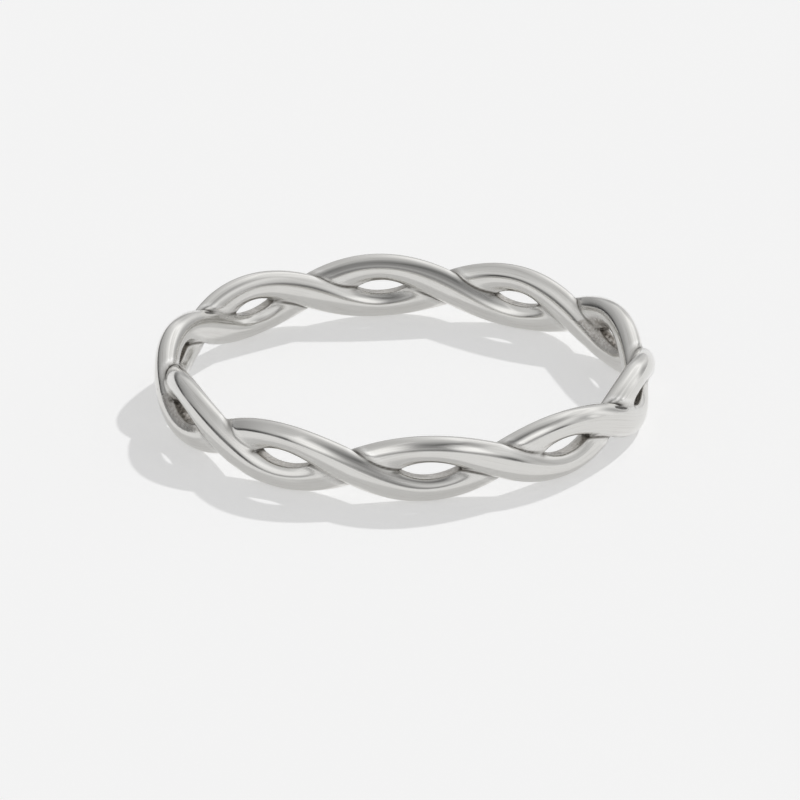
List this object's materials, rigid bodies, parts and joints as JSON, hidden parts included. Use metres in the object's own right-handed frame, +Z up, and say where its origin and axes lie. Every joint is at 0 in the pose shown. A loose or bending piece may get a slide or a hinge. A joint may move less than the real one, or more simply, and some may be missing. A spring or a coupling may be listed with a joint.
{
  "type": "twisted band ring",
  "caption": "Open twisted finger ring: two oval strands twist round each other in a closed band with lens-shaped eyes between crossings, soldered where they meet.",
  "frame": {"origin": "on the ring's axis, in the plane of the surface that the ring lies on", "axes": "+Z up along the ring's axis; +X passes through a crossing of the two strands, and -Y, the front, passes through the middle of an open eye"},
  "size_m": [0.0198, 0.0196, 0.0028],
  "materials": {
    "silver": "satin-polished silver, bright on the strands, darker and rougher as cast in the crotches between them"
  },
  "bodies": {
    "root": {"twisted_band": "silver"}
  },
  "joints": []
}
